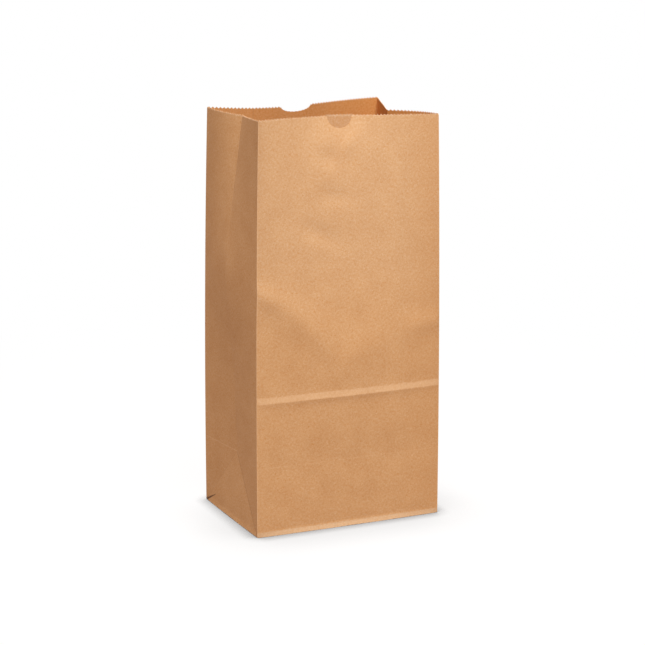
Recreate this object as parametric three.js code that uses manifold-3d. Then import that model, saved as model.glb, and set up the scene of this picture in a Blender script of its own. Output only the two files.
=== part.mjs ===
// Brown kraft paper grocery sack, standing open.
// One gusseted paper tube is folded and pasted shut at the base. It has a glued seam down the
// back, a saw-cut mouth, a thumb cut in the back and a half-moon tab in the front.
// Millimetres, +Z up. X runs across the width and the front panel faces -Y.
// The origin is the middle of the base, on the underside of the outermost flap.

import * as THREE from 'three';
import Module from 'manifold-3d';
import { mergeVertices } from 'three/addons/utils/BufferGeometryUtils.js';

const wasm = await Module();
wasm.setup();

// Opened size, measured at the base and at the highest corner of the mouth
const WIDTH = 200;
const DEPTH = 140;
const HEIGHT = 414;
const PAPER = 0.15;

// Upright edges: how far each one leans and sinks at the mouth, and how far all bow out
const FRONT_LEFT = { x: -1, y: -1, leanX: 3, leanY: -2.5, sink: 1.5 };
const FRONT_RIGHT = { x: 1, y: -1, leanX: 0, leanY: 8, sink: 4.5 };
const BACK_RIGHT = { x: 1, y: 1, leanX: -3, leanY: 0, sink: 0 };
const BACK_LEFT = { x: -1, y: 1, leanX: 4.5, leanY: -5, sink: 1.5 };
const EDGE_BELLY = 0.3;

// Front and back panels: how far the mouth sags in, how far the middle swells out,
// and where, as shares of the width and the height
const FRONT_SAG = { size: 9, across: 0.4, from: 0.4, edgeFrom: 0.53, sink: -0.8 };
const BACK_SAG = { size: 20, across: 0.66, from: 0.35, edgeFrom: 0.45, sink: 2 };
const FRONT_SWELL = 2.5;
const BACK_SWELL = 2;
const SWELL_AT = 0.38;

// Handling dents in the front panel, as shares of its width from the left and of the height
const DENT_DEPTH = 1.3;
const DENT_RADIUS = 13;
const DENTS = [{ across: 0.46, up: 0.9 }, { across: 0.47, up: 0.835 }, { across: 0.43, up: 0.735 }];

// Marks of the flat-folded state: the ridge that the folded base pressed across the panels, and
// the fold half a depth up, which went through the back and only marked the front
const RIDGE_HEIGHT = 135.5;
const FRONT_RIDGE_OUT = 0.9;
const BACK_RIDGE_OUT = 0.5;
const RIDGE_ABOVE = 6.5;
const RIDGE_BELOW = 5;
const FRONT_KNEE_IN = 0.5;
const BACK_KNEE_IN = 1.4;
const KNEE_SPREAD = 24;

// Side gussets: how far the centre crease is pushed in at four heights, how far each half bows
// out at the mouth and how far the crease sinks there, then two of the heights as shares
const LEFT_TUCK = { knee: 7.5, low: 3.5, mid: -7, mouth: 11, frontBow: 1, rearBow: 4, sink: 2 };
const RIGHT_TUCK = { knee: 6, low: 2, mid: 0, mouth: 23, frontBow: 8.5, rearBow: 0, sink: 3.7 };
const TUCK_LOW_AT = 0.44;
const TUCK_MID_AT = 0.59;

// Folded base: half the overlap of the two long flaps, and the lip where the walls turn in
const FLAP_OVERLAP = 10;
const BASE_PLIES = 4;
const LONG_FLAP_PLIES = 2;
const PLIES_UNDER_SIDE_FLAP = 3;
const LIP_OUT = 1.2;
const LIP_HEIGHT = 5;
const FOLD_RADIUS = 0.4;
const FLOOR_MARGIN = 0.5;

// Glued seam down the back, seen from the front to lie left of the middle
const SEAM_LEFT = -69;
const SEAM_WIDTH = 14;
const SEAM_EASE = 20;
const SEAM_STEP = 0.2;

// Saw-cut mouth
const TOOTH_PITCH = 3.6;
const TOOTH_DEPTH = 1.1;
const MOUTH_STRIP = 5;

// Thumb cut in the back and half-moon in the front, one behind the other when the sack is flat
const THUMB_X = -5.7;
const THUMB_WIDTH = 37;
const THUMB_DEPTH = 6.2;
const THUMB_SQUARENESS = 2.1;
const THUMB_TOOTH = 0.4;
const MOON_X = -6.7;
const MOON_WIDTH = 26.8;
const MOON_DEPTH = 12;
const TAB_RISE = 0.9;
const TAB_LAP = 1.6;

// Grid of the walls
const PANEL_CELLS = 18;
const HALF_GUSSET_CELLS = 6;
const CURVE_POINTS = 20;
const CLEAR = 20;

// Kraft paper
const KRAFT_COLOUR = 0xd3a474;
const KRAFT_ROUGHNESS = 0.85;

const KNEE = DEPTH / 2;
const FLOOR = BASE_PLIES * PAPER;
const FLAP_LENGTH = DEPTH / 2 + FLAP_OVERLAP;

// A hump of height 1 across 0..1 that stands highest at the place peak
function hump(s, peak) {
  const skew = Math.log(0.5) / Math.log(peak);
  return Math.sin(Math.PI * Math.pow(THREE.MathUtils.clamp(s, 0, 1), skew));
}

// 0 up to the place start, then climbing to 1 at 1
function climb(h, start) {
  return Math.pow(Math.max(0, (h - start) / (1 - start)), 1.25);
}

// 1 along most of an edge, falling to 0 at both ends
function fadeAtEnds(s) {
  return Math.pow(Math.sin(Math.PI * s), 0.4);
}

// Value at a place between stations, each given as place and value, joined by straight lines
function between(place, pairs) {
  for (let i = 1; i < pairs.length; i++) {
    const [p0, v0] = pairs[i - 1];
    const [p1, v1] = pairs[i];
    if (place <= p1 || i === pairs.length - 1) return v0 + (v1 - v0) * (place - p0) / (p1 - p0);
  }
  return pairs[0][1];
}

// Where an upright edge stands at height z
function edgeAt(edge, z) {
  const h = z / HEIGHT;
  const x = edge.x * (WIDTH / 2 + EDGE_BELLY * Math.sin(Math.PI * Math.min(h, 1))) + edge.leanX * h * h;
  const y = edge.y * DEPTH / 2 + edge.leanY * h * h;
  return new THREE.Vector2(x, y);
}

// Small lip at the foot of each wall, where the paper was folded flat
function lip(s, z) {
  return LIP_OUT * fadeAtEnds(s) * THREE.MathUtils.clamp((LIP_HEIGHT - z) / (LIP_HEIGHT - FLOOR), 0, 1);
}

// How far a panel's mouth sags in, starting from a V-shaped bend lower down
function sag(form, s, h) {
  const bend = THREE.MathUtils.lerp(form.from, form.edgeFrom, Math.abs(2 * s - 1));
  return form.size * hump(s, form.across) * climb(h, bend);
}

// Distance inwards that the flat-folded state left in a panel: its fold less its ridge
function foldMarks(kneeIn, ridgeOut, s, z) {
  const above = 1 - (z - RIDGE_HEIGHT) / RIDGE_ABOVE;
  const below = 1 - (RIDGE_HEIGHT - z) / RIDGE_BELOW;
  const ridge = ridgeOut * Math.max(0, Math.min(above, below));
  const knee = kneeIn * Math.max(0, 1 - Math.abs(z - KNEE) / KNEE_SPREAD);
  return (knee - ridge) * fadeAtEnds(s);
}

function dents(s, z) {
  let depth = 0;
  for (const dent of DENTS) {
    const reach = Math.hypot((s - dent.across) * WIDTH, z - dent.up * HEIGHT) / DENT_RADIUS;
    depth += DENT_DEPTH * Math.exp(-reach * reach);
  }
  return depth;
}

// Distance inwards from the flat front panel
function frontRelief(s, z) {
  const h = z / HEIGHT;
  const swell = FRONT_SWELL * Math.sin(Math.PI * s) * hump(h, SWELL_AT);
  const marks = foldMarks(FRONT_KNEE_IN, FRONT_RIDGE_OUT, s, z);
  return sag(FRONT_SAG, s, h) + dents(s, z) + marks - swell - lip(s, z);
}

function backRelief(s, z) {
  const h = z / HEIGHT;
  const swell = BACK_SWELL * Math.sin(Math.PI * s) * hump(h, SWELL_AT);
  const marks = foldMarks(BACK_KNEE_IN, BACK_RIDGE_OUT, s, z);
  return sag(BACK_SAG, s, h) + marks - swell - lip(s, z);
}

// Distance inwards from a flat side. Below the knee a triangle stands on the short base edge,
// with its two slanting creases running from the base corners to the knee.
function gussetRelief(tuck, bow, s, z) {
  const inward = 1 - Math.abs(2 * s - 1);
  if (z < KNEE) return tuck.knee * Math.min(inward, z / KNEE) - lip(s, z) / 2;
  const crease = between(z / HEIGHT, [
    [KNEE / HEIGHT, tuck.knee],
    [TUCK_LOW_AT, tuck.low],
    [TUCK_MID_AT, tuck.mid],
    [1, tuck.mouth],
  ]);
  return crease * inward - bow * Math.sin(Math.PI * inward) * climb(z / HEIGHT, TUCK_LOW_AT);
}

function rightRelief(s, z) {
  return gussetRelief(RIGHT_TUCK, s < 0.5 ? RIGHT_TUCK.frontBow : RIGHT_TUCK.rearBow, s, z);
}

function leftRelief(s, z) {
  return gussetRelief(LEFT_TUCK, s < 0.5 ? LEFT_TUCK.rearBow : LEFT_TUCK.frontBow, s, z);
}

// The four walls in order round the tube, with inward as the way in from each
const FRONT = { from: FRONT_LEFT, to: FRONT_RIGHT, inward: [0, 1], relief: frontRelief, sag: FRONT_SAG };
const RIGHT = { from: FRONT_RIGHT, to: BACK_RIGHT, inward: [-1, 0], relief: rightRelief, tuck: RIGHT_TUCK };
const BACK = { from: BACK_RIGHT, to: BACK_LEFT, inward: [0, -1], relief: backRelief, sag: BACK_SAG };
const LEFT = { from: BACK_LEFT, to: FRONT_LEFT, inward: [1, 0], relief: leftRelief, tuck: LEFT_TUCK };

// Shares 0..1 along a wall at which the grid has its columns, without the last
function shares(wall) {
  const cells = wall.tuck ? 2 * HALF_GUSSET_CELLS : PANEL_CELLS;
  const even = Array.from({ length: cells }, (_, i) => i / cells);
  if (wall !== BACK) return even;
  const seam = [SEAM_LEFT, SEAM_LEFT + SEAM_STEP, SEAM_LEFT + SEAM_WIDTH, SEAM_LEFT + SEAM_WIDTH + SEAM_STEP];
  const seamShares = seam.map((x) => 0.5 - x / WIDTH);
  const apart = even.filter((s) => seamShares.every((t) => Math.abs(s - t) * WIDTH > 2));
  return [...apart, ...seamShares].sort((a, b) => a - b);
}

// Seam shifts at one column: both faces move out by one sheet where the plies lap and ease back
function seamShift(wall, s) {
  if (wall !== BACK) return { outer: 0, inner: 0 };
  const x = (0.5 - s) * WIDTH;
  const lapEnd = SEAM_LEFT + SEAM_WIDTH;
  const half = SEAM_STEP / 2;
  const eased = 1 - THREE.MathUtils.clamp((x - lapEnd - SEAM_STEP) / SEAM_EASE, 0, 1);
  const outer = x < SEAM_LEFT + half ? 0 : eased;
  const inner = x < lapEnd + half ? 0 : eased;
  return { outer: outer * PAPER, inner: inner * PAPER };
}

// Columns of the grid round the tube. Each one knows how many teeth the mouth has up to the next,
// and which way the cells after it are split, so that the slanting creases are edges of the mesh.
const columns = [];
for (const wall of [FRONT, RIGHT, BACK, LEFT]) {
  const places = shares(wall);
  const length = wall.tuck ? DEPTH : WIDTH;
  places.forEach((s, i) => {
    const cell = (i + 1 < places.length ? places[i + 1] : 1) - s;
    const teeth = Math.round(cell * length / TOOTH_PITCH);
    const leansBack = Boolean(wall.tuck) && s >= 0.5;
    columns.push({ wall, s, teeth, leansBack, shift: seamShift(wall, s) });
  });
}

// How far below HEIGHT the mouth lies at a place along a wall
function sinkAt(wall, s) {
  const atEdges = THREE.MathUtils.lerp(wall.from.sink, wall.to.sink, s);
  if (wall.tuck) return atEdges + wall.tuck.sink * (1 - Math.abs(2 * s - 1));
  return atEdges + wall.sag.sink * hump(s, wall.sag.across);
}

function wallPoint({ wall, s }, z) {
  const chord = edgeAt(wall.from, z).lerp(edgeAt(wall.to, z), s);
  return chord.addScaledVector(new THREE.Vector2(...wall.inward), wall.relief(s, z));
}

// Moves a closed ring of points inwards by its own distance at each point, with mitred corners
function insetRing(ring, distances) {
  return ring.map((point, i) => {
    const before = ring[(i + ring.length - 1) % ring.length];
    const after = ring[(i + 1) % ring.length];
    const n0 = point.clone().sub(before).normalize().rotateAround(new THREE.Vector2(), Math.PI / 2);
    const n1 = after.clone().sub(point).normalize().rotateAround(new THREE.Vector2(), Math.PI / 2);
    const mitre = n0.clone().add(n1).divideScalar(1 + n0.dot(n1));
    return point.clone().addScaledVector(mitre, distances[i]);
  });
}

function spread(from, to, cells) {
  return Array.from({ length: cells }, (_, i) => from + (to - from) * (i + 1) / cells);
}

// Heights of the grid's rows, from the underside to just below the mouth's teeth
const LOW = TUCK_LOW_AT * HEIGHT;
const MID = TUCK_MID_AT * HEIGHT;
const rowHeights = [
  FLOOR,
  LIP_HEIGHT,
  ...spread(0, KNEE, HALF_GUSSET_CELLS),
  ...spread(KNEE, RIDGE_HEIGHT - RIDGE_BELOW, 3),
  RIDGE_HEIGHT,
  RIDGE_HEIGHT + RIDGE_ABOVE,
  ...spread(RIDGE_HEIGHT + RIDGE_ABOVE, LOW, 2),
  ...spread(LOW, MID, 3),
  ...spread(MID, HEIGHT - MOUTH_STRIP, 7),
];

// One row of points, moved inwards by inset, with the mouth's fall worked in
function row(z, inset, face) {
  const ring = columns.map((column) => wallPoint(column, z));
  const moved = insetRing(ring, columns.map((column) => inset - column.shift[face]));
  return moved.map((p, i) => {
    const { wall, s } = columns[i];
    return new THREE.Vector3(p.x, p.y, z - sinkAt(wall, s) * (z / HEIGHT) ** 2);
  });
}

// The toothed edge of the mouth: between two columns each tooth rises from a notch to a tip
function toothedRow(inset, face, rise) {
  const base = row(HEIGHT, inset, face);
  const points = [];
  const owners = [];
  base.forEach((a, i) => {
    const b = base[(i + 1) % base.length];
    const places = Math.max(1, 2 * columns[i].teeth);
    for (let j = 0; j < places; j++) {
      const p = a.clone().lerp(b, j / places);
      p.z += rise - (j % 2 === 0 ? TOOTH_DEPTH : 0);
      points.push(p);
      owners.push(i);
    }
  });
  return { points, owners };
}

// One face of the paper, outer or inner: its rows, its toothed edge and its floor
function paperFace(inset, face, rise, floorHeight) {
  const vertices = [];
  const triangles = [];
  const n = columns.length;
  const bottom = row(FLOOR, face === 'outer' ? inset + FOLD_RADIUS : inset, face);
  bottom.forEach((p) => vertices.push(p.setZ(floorHeight)));
  const heights = face === 'outer' ? rowHeights : rowHeights.slice(1);
  heights.forEach((z) => vertices.push(...row(z, inset, face)));
  for (let r = 0; r < heights.length; r++) {
    for (let i = 0; i < n; i++) {
      const a = r * n + i;
      const b = r * n + (i + 1) % n;
      if (columns[i].leansBack) triangles.push([a, b, a + n], [b, b + n, a + n]);
      else triangles.push([a, b, b + n], [a, b + n, a + n]);
    }
  }
  const mouth = toothedRow(inset, face, rise);
  const last = heights.length * n;
  const first = vertices.length;
  const count = mouth.points.length;
  vertices.push(...mouth.points);
  mouth.owners.forEach((i, j) => {
    const next = (j + 1) % count;
    triangles.push([last + i, first + next, first + j]);
    if (mouth.owners[next] !== i) triangles.push([last + i, last + (i + 1) % n, first + next]);
  });
  const middle = vertices.length;
  vertices.push(new THREE.Vector3(0, 0, floorHeight));
  for (let i = 0; i < n; i++) triangles.push([middle, (i + 1) % n, i]);
  return { vertices, triangles, first, count };
}

// The paper between two insets as one closed shell, open only at the mouth
function paperShell(outerInset, innerInset, rise) {
  const outer = paperFace(outerInset, 'outer', rise, 0);
  const inner = paperFace(innerInset, 'inner', rise, FLOOR);
  const shift = outer.vertices.length;
  const triangles = [...outer.triangles, ...inner.triangles.map(([a, b, c]) => [shift + a, shift + c, shift + b])];
  for (let j = 0; j < outer.count; j++) {
    const k = (j + 1) % outer.count;
    const [o0, o1] = [outer.first + j, outer.first + k];
    const [i0, i1] = [shift + inner.first + j, shift + inner.first + k];
    triangles.push([o0, o1, i1], [o0, i1, i0]);
  }
  const vertices = [...outer.vertices, ...inner.vertices].flatMap((p) => p.toArray());
  return new wasm.Manifold(new wasm.Mesh({
    numProp: 3,
    vertProperties: new Float32Array(vertices),
    triVerts: new Uint32Array(triangles.flat()),
  }));
}

// Closed solid from a three.js geometry
function solid(geometry) {
  geometry.deleteAttribute('normal');
  geometry.deleteAttribute('uv');
  const merged = mergeVertices(geometry);
  return new wasm.Manifold(new wasm.Mesh({
    numProp: 3,
    vertProperties: merged.attributes.position.array,
    triVerts: new Uint32Array(merged.index.array),
  }));
}

// Upright prism over an outline in X and Y
function prism(points, low, high) {
  const outline = new THREE.Shape(points.map(([x, y]) => new THREE.Vector2(x, y)));
  const geometry = new THREE.ExtrudeGeometry(outline, { depth: high - low, bevelEnabled: false });
  return solid(geometry.translate(0, 0, low));
}

// Prism along Y over an outline in X and Z, between two places on Y
function crosswisePrism(points, low, high) {
  const outline = new THREE.Shape(points.map(([x, z]) => new THREE.Vector2(x, z)));
  const geometry = new THREE.ExtrudeGeometry(outline, { depth: high - low, bevelEnabled: false });
  return solid(geometry.rotateX(Math.PI / 2).translate(0, high, 0));
}

// Lower half of an oval that is cut into a wall's mouth, squarer for a larger power
function cutOutline(wall, middle, halfWidth, depth, power, tooth) {
  const s = 0.5 + wall.inward[1] * middle / WIDTH;
  const mouth = HEIGHT - sinkAt(wall, s) - TOOTH_DEPTH / 2;
  const points = [[middle - halfWidth, HEIGHT + CLEAR]];
  for (let i = 0; i <= CURVE_POINTS; i++) {
    const angle = Math.PI * (1 - i / CURVE_POINTS);
    const along = Math.sign(Math.cos(angle)) * Math.abs(Math.cos(angle)) ** (2 / power);
    const down = Math.max(0, Math.sin(angle)) ** (2 / power);
    const bite = i % 2 === 0 ? tooth : 0;
    points.push([middle + halfWidth * along, mouth - (depth - bite) * down]);
  }
  points.push([middle + halfWidth, HEIGHT + CLEAR]);
  return points;
}

// Underside: all that the front flap leaves bare lies one sheet up, and the side flaps three
function cutUnderside(sack) {
  const low = -CLEAR;
  const endX = WIDTH / 2 - FLAP_LENGTH;
  const outX = WIDTH / 2 + CLEAR;
  const outY = DEPTH / 2 + CLEAR;
  const teeth = Math.max(1, Math.round(2 * endX / TOOTH_PITCH));
  const freeEdge = Array.from({ length: 2 * teeth + 1 }, (_, i) => [
    -endX + endX * i / teeth,
    FLAP_OVERLAP - (i % 2 === 0 ? 0 : TOOTH_DEPTH),
  ]);
  const besideFrontFlap = [[-outX, -outY], ...freeEdge, [outX, -outY], [outX, outY], [-outX, outY]];
  let cut = sack.subtract(prism(besideFrontFlap, low, PAPER));
  for (const side of [-1, 1]) {
    const triangle = [[side * outX, -outY], [side * outX, outY], [side * (WIDTH - DEPTH) / 2, 0]];
    cut = cut.subtract(prism(triangle, low, PLIES_UNDER_SIDE_FLAP * PAPER));
  }
  return cut;
}

// Floor: between the ends of the side flaps only the two long flaps are left
function cutFloor(sack) {
  const x = WIDTH / 2 - FLAP_LENGTH;
  const y = DEPTH / 2 - PAPER - FLOOR_MARGIN;
  const bare = [[-x, -y], [x, -y], [x, y], [-x, y]];
  return sack.subtract(prism(bare, LONG_FLAP_PLIES * PAPER, FLOOR + CLEAR));
}

// Thumb cut through the back, and a half-moon in the front with its tab pushed in behind it
function cutMouth(sack) {
  const tabHalfWidth = MOON_WIDTH / 2 + TAB_LAP;
  const thumb = cutOutline(BACK, THUMB_X, THUMB_WIDTH / 2, THUMB_DEPTH, THUMB_SQUARENESS, THUMB_TOOTH);
  const moon = cutOutline(FRONT, MOON_X, MOON_WIDTH / 2, MOON_DEPTH, 2, 0);
  const tabOutline = cutOutline(FRONT, MOON_X, tabHalfWidth, MOON_DEPTH + TAB_LAP, 2, 0);
  const behind = DEPTH / 2 + CLEAR;
  const layer = paperShell(0.9 * PAPER, 2 * PAPER, TAB_RISE);
  const tab = layer.intersect(crosswisePrism(tabOutline, -behind, 0));
  return sack
    .subtract(crosswisePrism(thumb, 0, behind))
    .subtract(crosswisePrism(moon, -behind, 0))
    .add(tab);
}

function makeSack() {
  const tube = paperShell(0, PAPER, 0);
  const mesh = cutMouth(cutFloor(cutUnderside(tube))).getMesh();
  const geometry = new THREE.BufferGeometry();
  geometry.setAttribute('position', new THREE.BufferAttribute(new Float32Array(mesh.vertProperties), 3));
  geometry.setIndex(new THREE.BufferAttribute(new Uint32Array(mesh.triVerts), 1));
  geometry.computeVertexNormals();
  const kraft = new THREE.MeshStandardMaterial({
    color: KRAFT_COLOUR,
    roughness: KRAFT_ROUGHNESS,
    metalness: 0,
  });
  const sack = new THREE.Mesh(geometry, kraft);
  sack.name = 'paper_bag';
  return sack;
}

const group = new THREE.Group();
group.add(makeSack());

export default group;
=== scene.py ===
# Brown kraft paper grocery sack, standing open on a white studio floor.
# The whole sack is one folded and pasted sheet, worked out as a grid round the tube and up it.
# Metres, +Z up. X runs across the width and the front panel faces -Y.

import math
from types import SimpleNamespace

import bpy
import numpy as np
from bpy.props import FloatProperty, FloatVectorProperty, PointerProperty
from bpy.types import Operator, Panel, PropertyGroup
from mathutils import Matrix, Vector


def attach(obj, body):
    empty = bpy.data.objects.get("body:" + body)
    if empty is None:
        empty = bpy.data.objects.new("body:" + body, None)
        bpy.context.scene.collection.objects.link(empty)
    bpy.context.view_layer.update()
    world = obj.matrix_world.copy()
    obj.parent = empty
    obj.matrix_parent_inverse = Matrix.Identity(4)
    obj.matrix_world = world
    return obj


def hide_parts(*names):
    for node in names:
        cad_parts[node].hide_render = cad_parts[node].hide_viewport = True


bl_info = {
    "name": "Kraft Paper Sack",
    "version": (1, 0, 0),
    "blender": (4, 5, 0),
    "location": "View3D > Sidebar > Paper Sack",
    "description": "Makes a self-opening kraft paper grocery sack and the studio that it stands in",
    "category": "Add Mesh",
}

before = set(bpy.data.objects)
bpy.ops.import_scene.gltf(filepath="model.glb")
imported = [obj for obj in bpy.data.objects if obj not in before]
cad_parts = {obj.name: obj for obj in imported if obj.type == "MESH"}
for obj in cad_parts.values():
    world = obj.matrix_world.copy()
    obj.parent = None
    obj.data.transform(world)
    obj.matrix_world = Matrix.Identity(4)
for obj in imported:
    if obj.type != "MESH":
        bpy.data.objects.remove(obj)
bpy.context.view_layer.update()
SACK_NODE = "paper_bag"
MM = 0.001

# Upright edges: which corner, how far each leans and sinks at the mouth
FRONT_LEFT = {"corner": (-1, -1), "lean": (3 * MM, -2.5 * MM), "sink": 1.5 * MM}
FRONT_RIGHT = {"corner": (1, -1), "lean": (0, 8 * MM), "sink": 4.5 * MM}
BACK_RIGHT = {"corner": (1, 1), "lean": (-3 * MM, 0), "sink": 0}
BACK_LEFT = {"corner": (-1, 1), "lean": (4.5 * MM, -5 * MM), "sink": 1.5 * MM}
EDGE_BELLY = 0.3 * MM

# Panels: how far the mouth sags in, how far the middle swells out, and where, as shares
FRONT_SAG = {"size": 9 * MM, "across": 0.4, "sink": -0.8 * MM,
             "bend_at": [0, 0.24, 0.45, 0.65, 1], "bend": [0.585, 0.51, 0.41, 0.45, 0.475]}
BACK_SAG = {"size": 20 * MM, "across": 0.66, "sink": 2 * MM,
            "bend_at": [0, 0.5, 1], "bend": [0.45, 0.35, 0.45]}
FRONT_SWELL = 4 * MM
FRONT_SWELL_POWER = 0.6
BACK_SWELL = 2 * MM
SWELL_AT = 0.38

# Handling marks of the front: place as shares of width and height, reach along and across, turn of
# the long way from level in degrees, and depth, which is negative for a ridge
DENTS = [
    {"at": (0.45, 1.03), "reach": (34 * MM, 34 * MM), "turn": 0, "depth": 5 * MM},
    {"at": (0.395, 0.9), "reach": (14 * MM, 7 * MM), "turn": -14, "depth": 1 * MM},
    {"at": (0.42, 0.808), "reach": (14 * MM, 7 * MM), "turn": -10, "depth": 1 * MM},
    {"at": (0.345, 0.722), "reach": (24 * MM, 8 * MM), "turn": -26, "depth": 1.2 * MM},
    {"at": (0.52, 0.935), "reach": (16 * MM, 5 * MM), "turn": 42, "depth": -0.6 * MM},
    {"at": (0.04, 0.585), "reach": (26 * MM, 8 * MM), "turn": -25, "depth": -1.2 * MM},
    {"at": (0.2, 0.53), "reach": (46 * MM, 16 * MM), "turn": -30, "depth": -1 * MM},
    {"at": (0.94, 0.49), "reach": (30 * MM, 8 * MM), "turn": 3, "depth": -0.9 * MM},
    {"at": (0.77, 0.8), "reach": (140 * MM, 10 * MM), "turn": 88, "depth": -0.5 * MM},
]
COCKLE_HEIGHT = 0.1 * MM
COCKLE_WAVES = 24
COCKLE_LENGTHS = (22 * MM, 70 * MM)
COCKLE_SEED = 5

# Marks of the flat-folded state
RIDGE_HEIGHT = 135.5 * MM
FRONT_RIDGE_OUT = 0.5 * MM
BACK_RIDGE_OUT = 0.5 * MM
RIDGE_ABOVE = 6.5 * MM
RIDGE_BELOW = 5 * MM
FRONT_KNEE_IN = 0.5 * MM
BACK_KNEE_IN = 1.4 * MM
KNEE_SPREAD = 24 * MM

# Side gussets: how far the centre crease is pushed in at four heights, how far each half bows
# out at the mouth and how far the crease sinks there
LEFT_TUCK = {"knee": 7.5 * MM, "low": 3.5 * MM, "mid": -7 * MM, "mouth": 11 * MM,
             "front_bow": 1 * MM, "rear_bow": 4 * MM, "sink": 2 * MM}
RIGHT_TUCK = {"knee": 6 * MM, "low": 2 * MM, "mid": 0, "mouth": 23 * MM,
              "front_bow": 8.5 * MM, "rear_bow": 0, "sink": 3.7 * MM}
TUCK_LOW_AT = 0.44
TUCK_MID_AT = 0.59
TUCK_EASE = 0.08
TUCK_STEPS = (-1, -0.6, -0.2, 0.2, 0.6, 1)

# Folded base. The level is how many sheets lie under a side flap
LIP_OUT = 1.7 * MM
LIP_HEIGHT = 5 * MM
LIP_FADE = 8 * MM
FOLD_RADIUS = 0.4 * MM
FOLD_THINNEST = 0.3
# Height of the pale foot: partly wear, partly painted highlight on the lip
FOOT_WEAR_AND_HIGHLIGHT = 5 * MM
SLIT_LENGTH = 26 * MM
SLIT_RISE = 0.5
SLIT_HALF_WIDTH = 3.5 * MM
PLY_GAP = 0.01 * MM
SIDE_LEVEL = 3
PLY_COLUMNS = 4

# Glued seam down the back
SEAM_LEFT = -69 * MM
SEAM_WIDTH = 14 * MM
SEAM_STEP = 0.2 * MM
SEAM_EASE = 20 * MM

# Cuts in the mouth. The half-moon's reach is in its half widths, and the tab stands 1.1 sheets in
THUMB_X = -5.7 * MM
THUMB_SQUARENESS = 2.1
THUMB_TOOTH = 0.7 * MM
MOON_X = -6.7 * MM
MOON_REACH = 1.01
TAB_RISE = 0.9 * MM
TAB_LAP = 1.6 * MM
TAB_SHEETS_IN = 1.1
CUT_COLUMNS = 28
CUT_CLEAR = 0.3 * MM
TAB_COLUMNS = 25
TAB_ROWS = 8
TAB_FOOT = 0.5 * MM

# Rows of the grid, at the foot, about the ridge, up the walls' top strip and in across the folded base,
# and how many lie between these
FOOT_ROWS = np.array([0.4, 0.9, 2, 3.5, 5, 7.5]) * MM
RIDGE_ROWS = np.array([-5, -3, -1.5, -0.5, 0, 0.5, 1.5, 3.5, 6.5]) * MM + RIDGE_HEIGHT
ROWS_TO_KNEE = 12
ROWS_TO_RIDGE = 10
ROWS_TO_STRIP = 42
STRIP_START = 394 * MM
STRIP_SHARES = [0.25, 0.5, 0.7, 0.86, 0.955, 1]
BASE_ROWS = np.array([0.12, 0.4, 2, 5, 10, 18, 27, 36, 45, 54, 63, 70, 76, 80]) * MM
CREASE_ANGLE = math.radians(20)

# Noises and specks on the sheet. Scale is how many there are to a metre. A stretch under 1 draws
# fibres out that way, turn is in radians, and size is a speck's share of its cell
CLOUDS = {"scale": 38, "detail": 4}
FLOCS = {"scale": 420, "detail": 4}
FLECKS = {"scale": 900, "detail": 2}
LONG_FIBRE = {"scale": 1500, "detail": 2, "stretch": (1, 0.22, 1), "turn": 0.1}
CROSS_FIBRE = {"scale": 1500, "detail": 2, "stretch": (0.25, 1, 1), "turn": 0.5}
WEAR = {"scale": 300, "detail": 2}
WOBBLE = {"scale": 90, "detail": 3}
FLUFF = {"scale": 420, "detail": 1}
BARK_SPECKS = {"scale": 260, "size": 0.09, "strength": 0.5}
PALE_SPECKS = {"scale": 410, "size": 0.12, "strength": 0.4}
SPECK_CORE = 0.4
NOISE_ROUGHNESS = 0.6

# Tones of the paper: how strongly the grain acts on red, green and blue, where painted sheen pales the front
# towards its mouth, where painted shade darkens it towards its right edge, and how much painted shade the
# inside has
GRAIN_TINT = (0.47, 1.28, 2.6)
GRAIN_LEAST = (0.2, 0.2, 0.2)
PAINTED_SHEEN_FROM = 180 * MM
PAINTED_SHEEN_TO = 300 * MM
PAINTED_SHEEN_SHARE = 0.13
SHADE_MARGIN_FROM = 150 * MM
SHADE_MARGIN_SHARE = 0.5
INSIDE_SHADE_RIGHT = 1.0
INSIDE_SHADE_LEFT = 0.55

# Half widths of the lines along folds, and how strongly each shows: pale rubs, partly painted highlight on
# the band and the foot, and painted shade along the slanting creases, the seam's edge and on the tab
EDGE_LINE = 0.9 * MM
GUSSET_LINE = 0.6 * MM
KNEE_LINE = 0.7 * MM
SLANT_LINE = 1.1 * MM
SEAM_LINE = 0.5 * MM
GUSSET_SHARE = 0.3
REAR_KNEE_SHARE = 0.9
FRONT_KNEE_SHARE = 0.3
BAND_SHARE = 0.78
RUB_AND_HIGHLIGHT_SHARE = 0.6
FOOT_SHARE = 0.45
SLANT_SHADE_SHARE = 0.6
SLANT_REAR = 0.25
SEAM_SHADOW_SHARE = 0.45
TAB_SHADE_SHARE = 0.4

# Wear: its mean, how far the band's rub and painted highlight strays, how soft the band and the foot end,
# and the fluff of
# the cut edges: how quickly it comes and goes, its least, and its share on the inner face
WEAR_MEAN = 0.75
BAND_WOBBLE = 2.4 * MM
BAND_SOFTNESS = 0.2
FOOT_SOFTNESS = 0.1
FLUFF_SPREAD = 0.1
FLUFF_LEAST = 0.35
INNER_FLUFF = 0.2

# Surface: bump of the fibres and of the creases beside that of the flocs, and gloss
FIBRE_RELIEF = 0.6
GROOVE_RELIEF = 2.0
SPECULAR_LEVEL = 0.2

# Names that the mesh and its material share
SHEET_MAP = "sheet"
CUT_EDGE = "cut_edge"
TAB_SHADE = "tab_shade"
INNER_FACE = "inner_face"

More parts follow.
